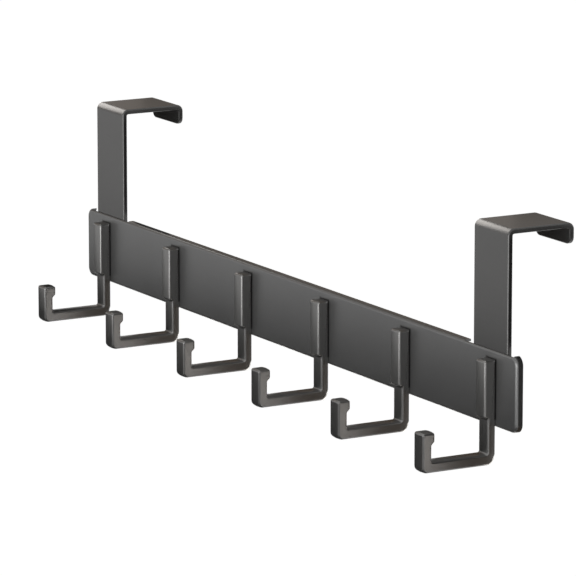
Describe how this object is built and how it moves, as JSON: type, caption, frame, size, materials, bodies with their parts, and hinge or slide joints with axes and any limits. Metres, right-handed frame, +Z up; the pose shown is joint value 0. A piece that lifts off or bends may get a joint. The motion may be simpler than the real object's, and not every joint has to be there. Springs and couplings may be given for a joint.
{
  "type": "over door hook rack",
  "caption": "Row of J-shaped hooks on a long flat back plate, hung over a door's top edge by two bent straps.",
  "frame": {"origin": "midway between the two straps, where the door's top edge meets its front face", "axes": "+X along the plate to its right end, +Y from the room into the door, +Z up"},
  "size_m": [0.49, 0.087, 0.1283],
  "materials": {
    "plate_coating": "dark grey satin powder coat with a slight metallic sheen",
    "hook_coating": "dark grey satin powder coat with a slight metallic sheen",
    "strap_coating": "dark grey satin powder coat with a slight metallic sheen",
    "screw_steel": "black-zinc plated steel"
  },
  "bodies": {
    "root": {"back_plate": "plate_coating", "hook_1": "hook_coating", "hook_2": "hook_coating", "hook_3": "hook_coating", "hook_4": "hook_coating", "hook_5": "hook_coating", "hook_6": "hook_coating", "strap_left": "strap_coating", "strap_right": "strap_coating", "hook_screws": "screw_steel", "strap_screws": "screw_steel"}
  },
  "joints": []
}
